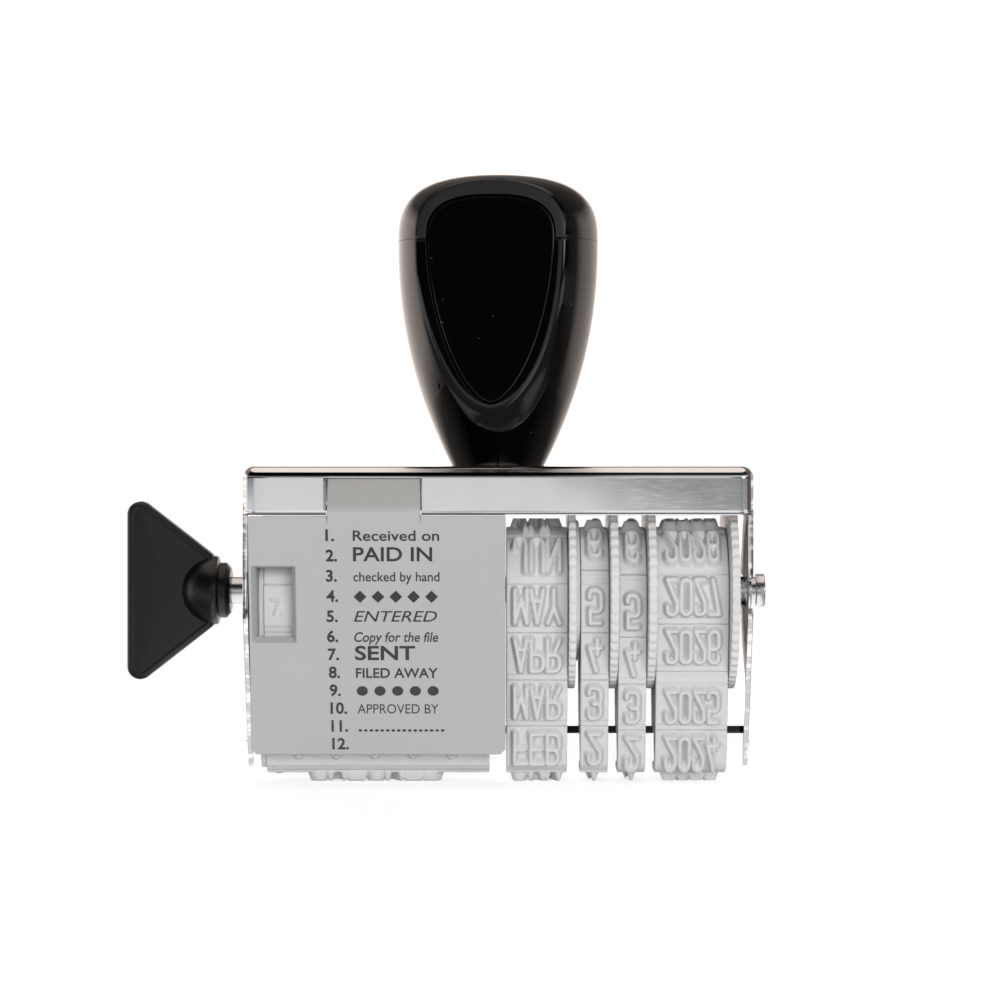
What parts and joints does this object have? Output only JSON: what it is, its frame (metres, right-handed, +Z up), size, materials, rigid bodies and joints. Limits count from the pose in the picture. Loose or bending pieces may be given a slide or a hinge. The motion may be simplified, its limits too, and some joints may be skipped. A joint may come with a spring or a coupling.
{
  "type": "date stamp",
  "caption": "Band date stamp: bulb handle on a chromed frame, thumb wheels that set the date bands, a winged knob that sets the phrase band and a list cover with a window.",
  "frame": {"origin": "printing plane, below the handle's axis and midway between the frame's arms", "axes": "+X to the right along the axle, seen from the printed cover; +Y to the rear; +Z up along the handle"},
  "size_m": [0.074, 0.0245, 0.0702],
  "materials": {
    "chrome": "bright chrome plate on drawn sheet",
    "bright_steel": "bright turned steel",
    "knob_plastic": "satin black, fine grain",
    "wheel_plastic": "satin pale grey",
    "band_rubber": "matte pale grey",
    "cover_plastic": "satin mid grey with dark print",
    "handle_plastic": "gloss black"
  },
  "bodies": {
    "stamp": {"frame": "chrome", "platen": "chrome", "axle_washer": "bright_steel", "phrase_belt": "band_rubber", "phrase_cover": "cover_plastic", "month_belt": "band_rubber", "day_tens_belt": "band_rubber", "day_units_belt": "band_rubber", "year_belt": "band_rubber", "handle_grip": "handle_plastic", "handle_cap": "handle_plastic", "front_insert": "handle_plastic", "rear_insert": "handle_plastic", "handle_screw": "bright_steel", "handle_washer": "bright_steel"},
    "knob_shaft": {"axle": "bright_steel", "axle_end_cap": "bright_steel", "knob": "knob_plastic", "phrase_drum": "wheel_plastic"},
    "month_thumb_wheel": {"month_wheel": "wheel_plastic"},
    "day_tens_thumb_wheel": {"day_tens_wheel": "wheel_plastic"},
    "day_units_thumb_wheel": {"day_units_wheel": "wheel_plastic"},
    "year_thumb_wheel": {"year_wheel": "wheel_plastic"}
  },
  "joints": [
    {"name": "knob_turn", "type": "hinge", "parent": "stamp", "child": "knob_shaft", "pos_m": [0, 0, 0.022], "axis": [1, 0, 0], "continuous": true},
    {"name": "month_turn", "type": "hinge", "parent": "stamp", "child": "month_thumb_wheel", "pos_m": [0.005, 0, 0.022], "axis": [1, 0, 0], "continuous": true},
    {"name": "day_tens_turn", "type": "hinge", "parent": "stamp", "child": "day_tens_thumb_wheel", "pos_m": [0.011, 0, 0.022], "axis": [1, 0, 0], "continuous": true},
    {"name": "day_units_turn", "type": "hinge", "parent": "stamp", "child": "day_units_thumb_wheel", "pos_m": [0.0155, 0, 0.022], "axis": [1, 0, 0], "continuous": true},
    {"name": "year_turn", "type": "hinge", "parent": "stamp", "child": "year_thumb_wheel", "pos_m": [0.022, 0, 0.022], "axis": [1, 0, 0], "continuous": true}
  ]
}
